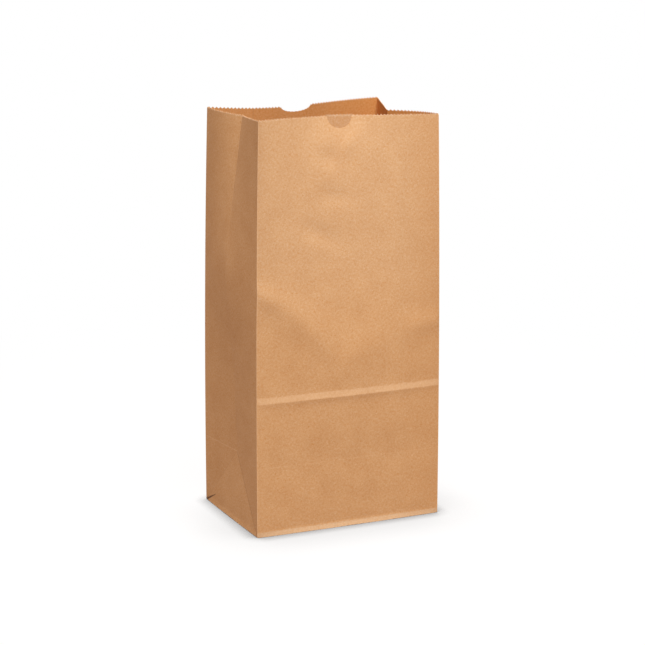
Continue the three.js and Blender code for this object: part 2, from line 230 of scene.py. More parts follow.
# Studio: the floor, its white for the camera and its shadow ahead of the sack, the lamps and the camera
FLOOR_RADIUS = 8
FLOOR_SIDES = 96
WHITE_FROM = 0.3
WHITE_TO = 0.9
LIT_SHARE = 0.1
OPENNESS_SAMPLES = 4
SHADOW_FROM = (-0.45, 0.9, 0.35)
SHADOW_START = 80 * MM
SHADOW_FULL = -30 * MM
KEY_PLACE = Vector((-0.2, -1.0, 2.7))
BACK_PLACE = Vector((0.9, 1.6, 1.5))
LAMP_AIM = Vector((0, 0, 0.2))
CAMERA_PLACE = Vector((-0.7884, -1.7437, 0.6156))
CAMERA_YAW = math.radians(24.389)
CAMERA_PITCH = math.radians(12.405)
SENSOR_WIDTH = 36


def hump(s, peak):
    """Sine hump of height 1 over 0..1, skewed so that it stands highest at the place peak."""
    return np.sin(np.pi * np.clip(s, 0, 1) ** (math.log(0.5) / math.log(peak)))


def climb(h, start):
    """0 up to the place start, then the 1.25th power of the share of the way from there to 1."""
    return np.maximum(0, (h - start) / (1 - start)) ** 1.25


def fade_at_ends(s):
    """0.4th power of a half sine over 0..1: about 1 in between and 0 at both ends."""
    return np.maximum(0, np.sin(np.pi * s)) ** 0.4


def edge_at(sack, edge, z):
    """Point of an upright edge: a base corner, plus a sine belly across, plus lean times height squared."""
    h = z / sack.height
    side_x, side_y = edge["corner"]
    belly = EDGE_BELLY * np.sin(np.pi * np.minimum(h, 1))
    x = side_x * (sack.width / 2 + belly) + edge["lean"][0] * h * h
    y = side_y * sack.depth / 2 + edge["lean"][1] * h * h
    return x, y


def lip(s, z):
    """Outward lip at the foot, full at the floor and gone at LIP_HEIGHT, where the wall was folded flat."""
    return LIP_OUT * fade_at_ends(s) * np.clip((LIP_HEIGHT - z) / LIP_HEIGHT, 0, 1)


def sag(form, s, h):
    """Sag of a panel's mouth: a hump across times a straight climb that starts along the bend."""
    bend = np.interp(s, form["bend_at"], form["bend"])
    return form["size"] * hump(s, form["across"]) * np.maximum(0, (h - bend) / (1 - bend))


def tent(form, s, h):
    """Rises straight from 0 at the floor to 1 along the bend, and falls straight to 0 at the mouth."""
    bend = np.interp(s, form["bend_at"], form["bend"])
    return np.clip(np.minimum(h / bend, (1 - h) / (1 - bend)), 0, 1)


def fold_marks(sack, knee_in, ridge_out, s, z):
    """Tent-shaped valley at half a depth up, less a ridge with two straight flanks, fading at the edges."""
    above = 1 - (z - RIDGE_HEIGHT) / RIDGE_ABOVE
    below = 1 - (RIDGE_HEIGHT - z) / RIDGE_BELOW
    ridge = ridge_out * np.maximum(0, np.minimum(above, below))
    knee = knee_in * np.maximum(0, 1 - np.abs(z - sack.depth / 2) / KNEE_SPREAD)
    return (knee - ridge) * fade_at_ends(s)


def dents(sack, s, z):
    """Sum of turned Gaussian hollows, each with its own reach across and along."""
    total = np.zeros(np.broadcast(s, z).shape)
    for dent in DENTS:
        across = (s - dent["at"][0]) * sack.width
        up = z - dent["at"][1] * sack.height
        turn = math.radians(dent["turn"])
        along = (across * math.cos(turn) + up * math.sin(turn)) / dent["reach"][0]
        over = (up * math.cos(turn) - across * math.sin(turn)) / dent["reach"][1]
        total += dent["depth"] * np.exp(-along ** 2 - over ** 2)
    return total


def cockle(u, z):
    """Soft unevenness of the sheet: a sum of plane cosine waves with seeded lengths and directions."""
    random = np.random.default_rng(COCKLE_SEED)
    total = np.zeros(np.broadcast(u, z).shape)
    for _ in range(COCKLE_WAVES):
        length = random.uniform(*COCKLE_LENGTHS)
        turn = random.uniform(0, math.pi)
        phase = random.uniform(0, 2 * math.pi)
        total += np.cos(2 * math.pi * (u * math.cos(turn) + z * math.sin(turn)) / length + phase)
    return COCKLE_HEIGHT * total / math.sqrt(COCKLE_WAVES)


def front_relief(sack, s, z):
    """Distance inwards from the flat front panel."""
    h = z / sack.height
    swell = FRONT_SWELL * np.sin(np.pi * s) ** FRONT_SWELL_POWER * tent(FRONT_SAG, s, h)
    marks = fold_marks(sack, FRONT_KNEE_IN, FRONT_RIDGE_OUT, s, z)
    return sag(FRONT_SAG, s, h) + dents(sack, s, z) + marks - swell - lip(s, z)


def back_relief(sack, s, z):
    """Distance inwards from the flat back panel."""
    h = z / sack.height
    swell = BACK_SWELL * np.sin(np.pi * s) * hump(h, SWELL_AT)
    marks = fold_marks(sack, BACK_KNEE_IN, BACK_RIDGE_OUT, s, z)
    return sag(BACK_SAG, s, h) + marks - swell - lip(s, z)


def gusset_relief(sack, tuck, bow, s, z):
    """Distance inwards from a flat side. Above the knee it grows in a straight line towards the centre
    crease, less a bow. The crease's own distance runs straight between four heights, rounded by the mean of
    it a little higher and lower. Below, a triangle stands on the base edge between two slanting creases."""
    inward = 1 - np.abs(2 * s - 1)
    h = z / sack.height
    knee = sack.depth / 2
    stations = [knee / sack.height, TUCK_LOW_AT, TUCK_MID_AT, 1]
    values = [tuck["knee"], tuck["low"], tuck["mid"], tuck["mouth"]]
    reach = np.clip(np.minimum(h - stations[0], 1 - h), 0, TUCK_EASE)
    crease = np.mean([np.interp(h + step * reach, stations, values) for step in TUCK_STEPS], axis=0)
    above = crease * inward - bow * np.sin(np.pi * inward) * climb(h, TUCK_LOW_AT)
    below = tuck["knee"] * np.minimum(inward, z / knee) - lip(s, z) / 2
    return np.where(z < knee, below, above)


def right_relief(sack, s, z):
    """Right gusset, whose front half comes first."""
    bow = np.where(s < 0.5, RIGHT_TUCK["front_bow"], RIGHT_TUCK["rear_bow"])
    return gusset_relief(sack, RIGHT_TUCK, bow, s, z)


def left_relief(sack, s, z):
    """Left gusset, whose rear half comes first."""
    bow = np.where(s < 0.5, LEFT_TUCK["rear_bow"], LEFT_TUCK["front_bow"])
    return gusset_relief(sack, LEFT_TUCK, bow, s, z)


def walls_of(sack):
    """The four walls in order round the tube. Level counts the sheets under each one's base flap."""
    return [
        {"ends": (FRONT_LEFT, FRONT_RIGHT), "inward": (0, 1), "relief": front_relief, "start": 0,
         "length": sack.width, "panel": FRONT_SAG, "level": 0},
        {"ends": (FRONT_RIGHT, BACK_RIGHT), "inward": (-1, 0), "relief": right_relief,
         "start": sack.width, "length": sack.depth, "tuck": RIGHT_TUCK, "level": SIDE_LEVEL},
        {"ends": (BACK_RIGHT, BACK_LEFT), "inward": (0, -1), "relief": back_relief,
         "start": sack.width + sack.depth, "length": sack.width, "panel": BACK_SAG, "level": 1},
        {"ends": (BACK_LEFT, FRONT_LEFT), "inward": (1, 0), "relief": left_relief,
         "start": 2 * sack.width + sack.depth, "length": sack.depth, "tuck": LEFT_TUCK, "level": SIDE_LEVEL},
    ]


def sink_at(wall, s):
    """How far below the full height the mouth lies: straight between its two edges, plus a hump."""
    first, last = wall["ends"]
    at_edges = first["sink"] + (last["sink"] - first["sink"]) * s
    if "tuck" in wall:
        return at_edges + wall["tuck"]["sink"] * (1 - np.abs(2 * s - 1))
    return at_edges + wall["panel"]["sink"] * hump(s, wall["panel"]["across"])


def cut_columns(middle, half_width, depth, power, bite):
    """Columns along a cut: x runs as a cosine and the depth as a sine, both raised to 2 / power, and every
    second column is shallower by the bite."""
    angle = np.linspace(0, math.pi, CUT_COLUMNS + 1)
    across = np.cos(angle)
    x = middle - half_width * np.sign(across) * np.abs(across) ** (2 / power)
    down = depth * np.maximum(0, np.sin(angle)) ** (2 / power)
    down[2:-2:2] -= bite
    return x, down


def columns_of(sack, wall):
    """Shares along a wall at which the grid has columns, and how far each lies below the mouth's tips.
    Without a cut the columns are half a tooth apart, by turns on a notch and on a tip."""
    cells = 2 * round(wall["length"] / sack.tooth_pitch)
    places = np.arange(cells) / cells
    down = np.where(np.arange(cells) % 2 == 0, sack.tooth_depth, 0)
    if "tuck" in wall:
        return places, down
    if wall["panel"] is FRONT_SAG:
        x, cut = cut_columns(MOON_X, sack.moon_width / 2, sack.moon_depth, 2, 0)
        s = 0.5 + x / sack.width
    else:
        x, cut = cut_columns(THUMB_X, sack.thumb_width / 2, sack.thumb_depth, THUMB_SQUARENESS, THUMB_TOOTH)
        s = 0.5 - x / sack.width
    low, high = s.min() - CUT_CLEAR / sack.width, s.max() + CUT_CLEAR / sack.width
    clear = (places < low) | (places > high)
    extra = [(s, cut + sack.tooth_depth / 2)]
    if wall["panel"] is BACK_SAG:
        seam = np.array([0, SEAM_STEP, SEAM_WIDTH, SEAM_WIDTH + SEAM_STEP]) + SEAM_LEFT
        beside = 0.5 - seam / sack.width
        near = np.abs(places[:, None] - beside[None, :]).min(axis=1) * sack.width < SEAM_STEP
        clear &= ~near
        extra.append((beside, np.full(len(seam), sack.tooth_depth / 2)))
    places = np.concatenate([places[clear]] + [pair[0] for pair in extra])
    down = np.concatenate([down[clear]] + [pair[1] for pair in extra])
    order = np.argsort(places)
    return places[order], down[order]


def seam_shift(sack, wall, s):
    """Outward shift of the outer and the inner face: one sheet where the plies lap, easing back after it."""
    if wall.get("panel") is not BACK_SAG:
        return np.zeros_like(s), np.zeros_like(s)
    x = (0.5 - s) * sack.width
    lap_end = SEAM_LEFT + SEAM_WIDTH
    eased = sack.paper * (1 - np.clip((x - lap_end - SEAM_STEP) / SEAM_EASE, 0, 1))
    outer = np.where(x < SEAM_LEFT + SEAM_STEP / 2, 0, eased)
    inner = np.where(x < lap_end + SEAM_STEP / 2, 0, eased)
    return outer, inner


def wall_rows(sack):
    """Heights of the rows up to STRIP_START: close at the foot and the ridge, about 6 mm apart elsewhere."""
    knee = sack.depth / 2
    return np.concatenate([
        FOOT_ROWS,
        np.linspace(FOOT_ROWS[-1], knee, ROWS_TO_KNEE + 1)[1:],
        np.linspace(knee, RIDGE_ROWS[0], ROWS_TO_RIDGE + 1)[1:-1],
        RIDGE_ROWS,
        np.linspace(RIDGE_ROWS[-1], STRIP_START, ROWS_TO_STRIP + 1)[1:],
    ])


def inset_rings(x, y, distance):
    """Moves closed rings of points inwards by their own distance at each point, with mitred corners."""
    def normal(dx, dy):
        length = np.hypot(dx, dy)
        return -dy / length, dx / length
    before = normal(x - np.roll(x, 1, axis=1), y - np.roll(y, 1, axis=1))
    after = normal(np.roll(x, -1, axis=1) - x, np.roll(y, -1, axis=1) - y)
    spread = 1 + before[0] * after[0] + before[1] * after[1]
    mitre_x = (before[0] + after[0]) / spread
    mitre_y = (before[1] + after[1]) / spread
    return x + mitre_x * distance, y + mitre_y * distance


def tube_layout(sack):
    """Columns round the whole tube: wall number, share along it, depth below the tips, sheet distance."""
    parts = []
    for number, wall in enumerate(walls_of(sack)):
        s, down = columns_of(sack, wall)
        parts.append(np.stack([np.full_like(s, number), s, down, wall["start"] + s * wall["length"]]))
    return np.concatenate(parts, axis=1)


def tube_points(sack, layout, z, inset, face):
    """Points of one face of the tube, for sheet heights z of shape (rows, columns). Each lies between two
    upright edges, moved inwards by the wall's relief and the inset, and lowered by the mouth's fall."""
    x = np.zeros_like(z)
    y = np.zeros_like(z)
    fall = np.zeros_like(z)
    shift = np.zeros_like(z)
    for number, wall in enumerate(walls_of(sack)):
        at = layout[0] == number
        s = layout[1][at][None, :]
        here = z[:, at]
        x0, y0 = edge_at(sack, wall["ends"][0], here)
        x1, y1 = edge_at(sack, wall["ends"][1], here)
        relief = wall["relief"](sack, s, here) + cockle(layout[3][at][None, :], here) * fade_at_ends(s)
        x[:, at] = x0 + (x1 - x0) * s + wall["inward"][0] * relief
        y[:, at] = y0 + (y1 - y0) * s + wall["inward"][1] * relief
        fall[:, at] = sink_at(wall, s) * (here / sack.height) ** 2
        shift[:, at] = seam_shift(sack, wall, s[0])[face][None, :]
    x, y = inset_rings(x, y, inset - shift)
    return np.stack([x, y, z - fall], axis=-1)


def foot_lift(sack, layout):
    """Height of each wall's fold above the floor: the sheets under its flap, or their mean at a corner."""
    levels = np.array([wall["level"] for wall in walls_of(sack)], float)
    number = layout[0].astype(int)
    beside = levels[(number - 1) % len(levels)]
    return sack.paper * np.where(layout[1] == 0, (levels[number] + beside) / 2, levels[number])


def tube_heights(sack, layout):
    """Sheet heights of the wall's rows, of shape (rows, columns). The foot is lifted onto the sheets under
    it, and the strip below the mouth is shared out between STRIP_START and each column's own cut edge."""
    rows = wall_rows(sack)[:, None]
    lift = foot_lift(sack, layout)[None, :] * np.clip(1 - rows / LIP_HEIGHT, 0, 1)
    top = sack.height - layout[2][None, :]
    strip = STRIP_START + (top - STRIP_START) * np.array(STRIP_SHARES)[:, None]
    return np.concatenate([rows + lift, strip])


def fold_curve(depth):
    """Rise of a fold above its flap: a quarter circle from FOLD_RADIUS at the wall to 0 at that depth."""
    left = np.clip(FOLD_RADIUS - depth, 0, FOLD_RADIUS)
    return FOLD_RADIUS - np.sqrt(FOLD_RADIUS ** 2 - left ** 2)


def flap_points(sack, wall, s, depth):
    """Flap of one wall at shares s and depths in from its fold: a long flap narrows by its depth at both
    ends, and a side flap keeps its width. Gives x, y, height of the outer face, and sheet distance."""
    width, length = sack.width / 2, sack.depth / 2
    out = lip(s, 0 * s) * np.clip(1 - depth / LIP_FADE, 0, 1)
    if "tuck" in wall:
        side = -wall["inward"][0]
        x = side * (width - depth + out / 2)
        along = (2 * s - 1) * (length - 2 * sack.paper) + 0 * depth
        y = side * along
    else:
        side = -wall["inward"][1]
        y = side * (length - depth + out)
        along = (2 * s - 1) * (width - depth)
        x = -side * along
    z = wall["level"] * sack.paper + fold_curve(depth) + PLY_GAP * ("tuck" in wall)
    return x, y, z + 0 * x, wall["start"] + wall["length"] / 2 + along


def corner_points(sack, corner, level, depth):
    """Sheet at a base corner, from the side flap round a hairpin, out along the hidden ply and round the
    slanting fold into the long flap. Gives x, y, height and way off the corner for both faces."""
    sheet = sack.paper
    across, along = corner
    width, length = sack.width / 2, sack.depth / 2
    ply = np.linspace(0, 1, PLY_COLUMNS)[None, :]
    half = width - depth
    out = sheet * np.clip(depth / FOLD_RADIUS, 0, 1)
    reach = length - 2 * sheet - np.maximum(depth - 2 * sheet, 0) * ply
    hidden = SIDE_LEVEL * sheet
    middle = (level + SIDE_LEVEL) / 2 * sheet
    one = np.ones_like(depth)
    x = np.concatenate([half, half, half + 0 * reach, half + out, half], axis=1)
    edge = (length - 2 * sheet) * one
    y_outer = np.concatenate([edge, edge, reach, length - depth + out, length - depth], axis=1)
    y_inner = np.concatenate([edge, edge + sheet, reach, length - depth + out / 3, length - depth], axis=1)
    ply_one = one * np.ones_like(ply)
    rise = fold_curve(depth)
    z_outer = np.concatenate([
        (hidden + PLY_GAP) * one, hidden * one, (hidden - PLY_GAP) * ply_one, middle * one,
        level * sheet * one,
    ], axis=1) + rise
    z_inner = np.concatenate([
        (hidden + sheet) * one, hidden * one, (hidden - sheet) * ply_one, middle * one,
        (level + 1) * sheet * one,
    ], axis=1) + rise
    off = np.concatenate([0 * depth, 0 * depth, depth * ply, depth, depth], axis=1)
    outer = np.stack([across * x, along * y_outer, z_outer], axis=-1)
    inner = np.stack([across * x, along * y_inner, z_inner], axis=-1)
    return outer, inner, off


def base_sheet(sack, layout):
    """Folded base as rows round the whole sheet, from the foot to the free edge. Gives both faces, the
    sheet distances, the depths, and for each column the wall column that it hangs from."""
    rows = BASE_ROWS[:, None]
    walls = walls_of(sack)
    outer, inner, distance, depths, above = [], [], [], [], []
    for number, wall in enumerate(walls):
        at = np.flatnonzero(layout[0] == number)
        side = "tuck" in wall
        long_wall = walls[number - 1] if side else wall
        corner = wall["ends"][0]["corner"]
        faces = corner_points(sack, corner, long_wall["level"], rows)
        order = slice(None, None, -1) if side else slice(None)
        sign = -1 if side else 1
        outer.append(faces[0][:, order])
        inner.append(faces[1][:, order])
        distance.append(wall["start"] + sign * faces[2][:, order])
        depths.append(rows + 0 * faces[2])
        above.append(np.full(faces[2].shape[1], at[0]))
        at = at[1:]
        s = layout[1][at][None, :]
        depth = rows + 0 * s
        if side:
            tooth = layout[2][at]
        else:
            place = (2 * s[0] - 1) * (sack.width / 2 - rows[-1, 0]) / sack.tooth_pitch
            tooth = 2 * sack.tooth_depth * np.abs(place - np.floor(place + 0.5))
        depth[-1] -= np.clip(tooth, 0, sack.tooth_depth)
        x, y, z, along = flap_points(sack, wall, s, depth)
        thick = sack.paper * np.clip(rows / FOLD_RADIUS, FOLD_THINNEST, 1)
        outer.append(np.stack([x, y, z], axis=-1))
        inner.append(np.stack([x, y, z + thick - PLY_GAP * side], axis=-1))
        distance.append(along)
        depths.append(depth)
        above.append(at)
    joined = [np.concatenate(part, axis=1) for part in (outer, inner, distance, depths)]
    return *joined, np.concatenate(above)


def band(lower, upper):
    """Four-cornered faces between two closed rows of vertex numbers."""
    return np.stack([lower, np.roll(lower, -1), np.roll(upper, -1), upper], axis=1)


def closed_rows(rows):
    """Faces between each row of vertex numbers and the next."""
    return np.concatenate([band(rows[i], rows[i + 1]) for i in range(len(rows) - 1)])


def sack_sheet(sack):
    """The whole folded sheet: vertices, faces, sheet coordinates, nearness to a cut edge, 1 on the inner
    face and 0 on the outer, and whether on a crease."""
    layout = tube_layout(sack)
    heights = tube_heights(sack, layout)
    walls = [tube_points(sack, layout, heights, inset, face) for face, inset in enumerate((0, sack.paper))]
    base_outer, base_inner, distance, depths, above = base_sheet(sack, layout)
    rows, columns = heights.shape
    base_rows, base_columns = distance.shape
    u_wall = np.broadcast_to(layout[3][None, :], heights.shape)
    near_wall = np.zeros(heights.shape)
    near_wall[-1] = ~moon_columns(sack, layout)
    near_base = np.zeros(distance.shape)
    near_base[-1] = 1
    tube_number = np.arange(rows * columns).reshape(rows, columns)
    base_number = np.arange(base_rows * base_columns).reshape(base_rows, base_columns)
    vertices, faces, us, vs, near, inside, rims = [], [], [], [], [], [], []
    start = 0
    for face, (wall_part, base_part) in enumerate(zip(walls, (base_outer, base_inner))):
        tube = tube_number + start
        base = base_number + start + tube_number.size
        foot = band(base[0], tube[0][above])
        own = np.concatenate([closed_rows(tube), foot, closed_rows(base[::-1])])
        faces.append(own if face == 0 else own[:, ::-1])
        vertices += [wall_part.reshape(-1, 3), base_part.reshape(-1, 3)]
        us += [u_wall.ravel(), distance.ravel()]
        vs += [heights.ravel(), -depths.ravel()]
        near += [near_wall.ravel() * (1, INNER_FLUFF)[face], near_base.ravel()]
        inside.append(np.full(tube_number.size + base_number.size, float(face)))
        rims.append((tube[-1], base[-1]))
        start += tube_number.size + base_number.size
    faces.append(band(rims[0][0], rims[1][0]))
    faces.append(band(rims[1][1], rims[0][1]))
    parts = [np.concatenate(part) for part in (vertices, faces, us, vs, near, inside)]
    crease = np.tile(np.concatenate([
        np.broadcast_to(crease_columns(layout), heights.shape).ravel(),
        np.zeros(distance.size, bool),
    ]), 2)
    return *parts, crease


def moon_columns(sack, layout):
    """Which columns end on the half-moon's arc."""
    off_middle = np.abs(layout[3] - sack.width / 2 - MOON_X)
    return (layout[0] == 0) & (off_middle < MOON_REACH * sack.moon_width / 2)


def crease_columns(layout):
    """Which columns are a folded edge or a gusset's centre crease."""
    gusset = layout[0] % 2 == 1
    return (layout[1] == 0) | (gusset & np.isclose(layout[1], 0.5))


def moon_tab(sack):
    """Half-round tab behind the front's half-moon: x runs as a cosine, and each column reaches from the
    rise above the mouth down to the oval. It lies just over one sheet inside the front."""
    wall = walls_of(sack)[0]
    half_width = sack.moon_width / 2 + TAB_LAP
    deepest = sack.moon_depth + TAB_LAP
    angle = np.linspace(0, math.pi, TAB_COLUMNS)[None, :]
    down = np.linspace(0, 1, TAB_ROWS)[:, None]
    s = 0.5 + (MOON_X - half_width * np.cos(angle)) / sack.width
    bite = np.where(np.arange(TAB_COLUMNS) % 2 == 0, sack.tooth_depth, 0)[None, :]
    top = sack.height + TAB_RISE - bite
    bottom = sack.height - sack.tooth_depth / 2 - deepest * np.sin(angle) - TAB_FOOT
    z = top + (bottom - top) * down
    x0, y0 = edge_at(sack, wall["ends"][0], z)
    x1, y1 = edge_at(sack, wall["ends"][1], z)
    x = x0 + (x1 - x0) * s
    y = y0 + (y1 - y0) * s + front_relief(sack, s, z) + cockle(s * sack.width, z) * fade_at_ends(s)
    fall = sink_at(wall, s) * (z / sack.height) ** 2
    outer = np.stack([x, y + TAB_SHEETS_IN * sack.paper, z - fall], axis=-1)
    inner = outer + np.array([0, sack.paper, 0])
    number = np.arange(outer[..., 0].size).reshape(outer.shape[:2])
    ring = np.concatenate([number[0, :-1], number[:-1, -1], number[-1, :0:-1], number[:0:-1, 0]])
    front = np.stack([number[1:, :-1], number[1:, 1:], number[:-1, 1:], number[:-1, :-1]], axis=-1)
    front = front.reshape(-1, 4)
    back = front[:, ::-1] + number.size
    rim = band(ring, ring + number.size)[:, ::-1]
    vertices = np.concatenate([outer.reshape(-1, 3), inner.reshape(-1, 3)])
    u = np.tile((s * sack.width + 0 * z).ravel(), 2)
    near = np.zeros(z.shape)
    near[0] = 1
    return vertices, np.concatenate([front, back, rim]), u, np.tile(z.ravel(), 2), np.tile(near.ravel(), 2)


def make_mesh(name, vertices, quads):
    """Mesh of quads and of the triangles that quads with two equal corners leave. Gives it with the
    vertex numbers of its face corners in order."""
    last_same = quads[:, 2] == quads[:, 3]
    first_same = quads[:, 0] == quads[:, 1]
    triangles = np.concatenate([quads[last_same][:, :3], quads[first_same][:, 1:]])
    quads = quads[~(last_same | first_same)]
    mesh = bpy.data.meshes.new(name)
    mesh.from_pydata(vertices, [], quads.tolist() + triangles.tolist())
    return mesh, quads, triangles


def write_sheet_map(mesh, quads, triangles, u, v, perimeter):
    """UV map of the flat sheet in metres, with the last column's faces carried on past the perimeter."""
    corners = []
    for part in (quads, triangles):
        across = u[part]
        wraps = (across.max(axis=1) - across.min(axis=1) > perimeter / 2)[:, None] & (across < perimeter / 2)
        corners.append(np.stack([across + perimeter * wraps, v[part]], axis=-1).reshape(-1, 2))
    layer = mesh.uv_layers.new(name=SHEET_MAP)
    layer.data.foreach_set("uv", np.concatenate(corners).ravel())


def write_numbers(mesh, name, values):
    """Number at each vertex, as an attribute that the material reads."""
    mesh.attributes.new(name, "FLOAT", "POINT").data.foreach_set("value", values.astype(np.float32))


def mark_creases(mesh, crease):
    """Sharp edges where two faces meet at more than CREASE_ANGLE, and along the crease columns."""
    mesh.polygons.foreach_set("use_smooth", np.ones(len(mesh.polygons), bool))
    mesh.set_sharp_from_angle(angle=CREASE_ANGLE)
    ends = np.zeros(len(mesh.edges) * 2, np.int32)
    mesh.edges.foreach_get("vertices", ends)
    sharp = np.zeros(len(mesh.edges), bool)
    mesh.attributes["sharp_edge"].data.foreach_get("value", sharp)
    along_crease = crease[ends.reshape(-1, 2)].all(axis=1)
    mesh.attributes["sharp_edge"].data.foreach_set("value", sharp | along_crease)


def add(tree, kind, values=None, **settings):
    """New node of a tree with its settings, its input numbers and its linked inputs."""
    node = tree.nodes.new(kind)
    for name, value in settings.items():
        setattr(node, name, value)
    for name, value in (values or {}).items():
        if isinstance(value, bpy.types.NodeSocket):
            tree.links.new(value, node.inputs[name])
        else:
            node.inputs[name].default_value = value
    return node


def maths(tree, operation, *values):
    """Output of a Math node."""
    return add(tree, "ShaderNodeMath", dict(enumerate(values)), operation=operation).outputs[0]


def vector_maths(tree, operation, *values):
    """Vector output of a Vector Math node."""
    return add(tree, "ShaderNodeVectorMath", dict(enumerate(values)), operation=operation).outputs[0]


def less(tree, first, second):
    """First value less the second."""
    return maths(tree, "SUBTRACT", first, second)


def scaled(tree, value, factor, offset):
    """Value times a factor, plus an offset."""
    return maths(tree, "MULTIPLY_ADD", value, factor, offset)


def product(tree, first, *others):
    """Product of several values."""
    for other in others:
        first = maths(tree, "MULTIPLY", first, other)
    return first


def largest(tree, first, *others):
    """Largest of several values."""
    for other in others:
        first = maths(tree, "MAXIMUM", first, other)
    return first


def ramp(tree, value, start, end, low, high, shape="LINEAR"):
    """From low at the start to high at the end, in a straight line or smoothly, and level beyond them."""
    return add(tree, "ShaderNodeMapRange", {
        "Value": value, "From Min": start, "From Max": end, "To Min": low, "To Max": high,
    }, interpolation_type=shape).outputs[0]


def line(tree, distance, half_width):
    """1 on a line and 0 from half_width away, smoothly."""
    return ramp(tree, maths(tree, "ABSOLUTE", distance), 0, half_width, 1, 0, "SMOOTHSTEP")


def patch(tree, distance, half_width, softness):
    """1 inside half_width and 0 outside, over an edge that is softness of it wide on either side."""
    away = maths(tree, "ABSOLUTE", distance)
    return ramp(tree, away, (1 - softness) * half_width, (1 + softness) * half_width, 1, 0)


def blend(tree, factor, first, second):
    """Colour between two, by a factor."""
    first, second = [
        value if isinstance(value, bpy.types.NodeSocket) else (*value, 1) for value in (first, second)]
    return add(tree, "ShaderNodeMix", {0: factor, 6: first, 7: second}, data_type="RGBA").outputs[2]


def attribute(tree, name):
    """Number that the mesh carries at its vertices."""
    return add(tree, "ShaderNodeAttribute", attribute_name=name, attribute_type="GEOMETRY").outputs["Fac"]


def noise(tree, place, scale, detail, stretch=(1, 1, 1), turn=0):
    """Noise about 0 on the sheet map, stretched and turned."""
    mapping = add(tree, "ShaderNodeMapping", {"Vector": place, "Rotation": (0, 0, turn), "Scale": stretch})
    texture = add(tree, "ShaderNodeTexNoise", {
        "Vector": mapping.outputs[0], "Scale": scale, "Detail": detail, "Roughness": NOISE_ROUGHNESS})
    return less(tree, texture.outputs["Fac"], 0.5)


def specks(tree, place, scale, size, strength):
    """Strength inside small round specks scattered one to a cell, and 0 outside."""
    cells = add(tree, "ShaderNodeTexVoronoi", {"Vector": place, "Scale": scale, "Randomness": 1.0})
    return ramp(tree, cells.outputs["Distance"], SPECK_CORE * size, size, strength, 0)


def openness(tree, values):
    """Share of rays that meet nothing near by, from an Ambient Occlusion node with the inputs given."""
    return add(tree, "ShaderNodeAmbientOcclusion", values, samples=OPENNESS_SAMPLES).outputs["AO"]


def empty_tree(owner):
    """Node tree of a new material or world, without the nodes that it comes with."""
    owner.use_nodes = True
    owner.node_tree.nodes.clear()
    return owner.node_tree


def sheet_places(tree, sack):
    """Where a point is: round and up the sheet, round the tube from the front's middle, off the nearest
    gusset's centre crease, and 1 or 0 for each of the front, the gussets, the inner and the outer face."""
    place = add(tree, "ShaderNodeUVMap", uv_map=SHEET_MAP).outputs[0]
    parts = add(tree, "ShaderNodeSeparateXYZ", {0: place})
    around = parts.outputs["X"]
    from_middle = maths(tree, "ABSOLUTE", less(tree, around, sack.width / 2))
    round_tube = maths(tree, "PINGPONG", from_middle, sack.width + sack.depth)
    to_gusset = less(tree, round_tube, (sack.width + sack.depth) / 2)
    from_gusset = maths(tree, "ABSOLUTE", to_gusset)
    inner = attribute(tree, INNER_FACE)
    return SimpleNamespace(
        place=place,
        around=around,
        up=parts.outputs["Y"],
        round_tube=round_tube,
        to_gusset=to_gusset,
        from_gusset=from_gusset,
        on_front=maths(tree, "LESS_THAN", round_tube, sack.width / 2),
        on_gusset=maths(tree, "LESS_THAN", from_gusset, sack.depth / 2),
        inner=inner,
        outer=less(tree, 1.0, inner),
    )


def fold_lines(tree, sack, at):
    """1 along each kind of fold and 0 away from it. The slanting creases are fainter on the rear half."""
    knee_height = sack.depth / 2
    knee = line(tree, less(tree, at.up, knee_height), KNEE_LINE)
    above_knee = maths(tree, "GREATER_THAN", at.up, knee_height)
    slant = line(tree, less(tree, maths(tree, "ADD", at.from_gusset, at.up), knee_height), SLANT_LINE)
    slant_share = scaled(tree, maths(tree, "LESS_THAN", at.to_gusset, 0.0), 1 - SLANT_REAR, SLANT_REAR)
    return SimpleNamespace(
        front_edge=line(tree, less(tree, at.round_tube, sack.width / 2), EDGE_LINE),
        back_edge=line(tree, less(tree, at.round_tube, sack.width / 2 + sack.depth), EDGE_LINE),
        gusset=product(tree, line(tree, at.to_gusset, GUSSET_LINE), above_knee),
        rear_knee=product(tree, knee, maths(tree, "GREATER_THAN", at.to_gusset, 0.0)),
        front_knee=product(tree, knee, at.on_front),
        slant=product(tree, slant, at.on_gusset, slant_share),
    )


def tone_sheen_and_shade(tree, sack, kraft, at):
    """Clouds of lighter and darker tone. Painted sheen pales the front towards its mouth and painted shade
    darkens it towards its right edge, and the inner face has a darker, redder tone of painted shade, fullest
    at the right of the back."""
    clouds = scaled(tree, noise(tree, at.place, **CLOUDS), kraft.cloudiness, 0.5)
    colour = blend(tree, clouds, kraft.shade, kraft.light)
    # Painted sheen: the front's upper part pales as if it caught the light.
    pale = ramp(tree, at.up, PAINTED_SHEEN_FROM, PAINTED_SHEEN_TO, 0, PAINTED_SHEEN_SHARE, "SMOOTHSTEP")
    colour = blend(tree, product(tree, pale, at.on_front), colour, kraft.pale)
    # Painted shade: the front darkens towards its right edge.
    right_edge_shade = ramp(tree, at.around, SHADE_MARGIN_FROM, sack.width, 0, SHADE_MARGIN_SHARE, "SMOOTHSTEP")
    colour = blend(tree, product(tree, right_edge_shade, at.on_front), colour, kraft.shade)
    # Painted shade inside the sack: the inner face is darker and redder, most at the right of the back.
    back_start = sack.width + sack.depth
    share = ramp(tree, at.around, back_start, back_start + sack.width, INSIDE_SHADE_RIGHT, INSIDE_SHADE_LEFT)
    return blend(tree, product(tree, at.inner, share), colour, kraft.inside)


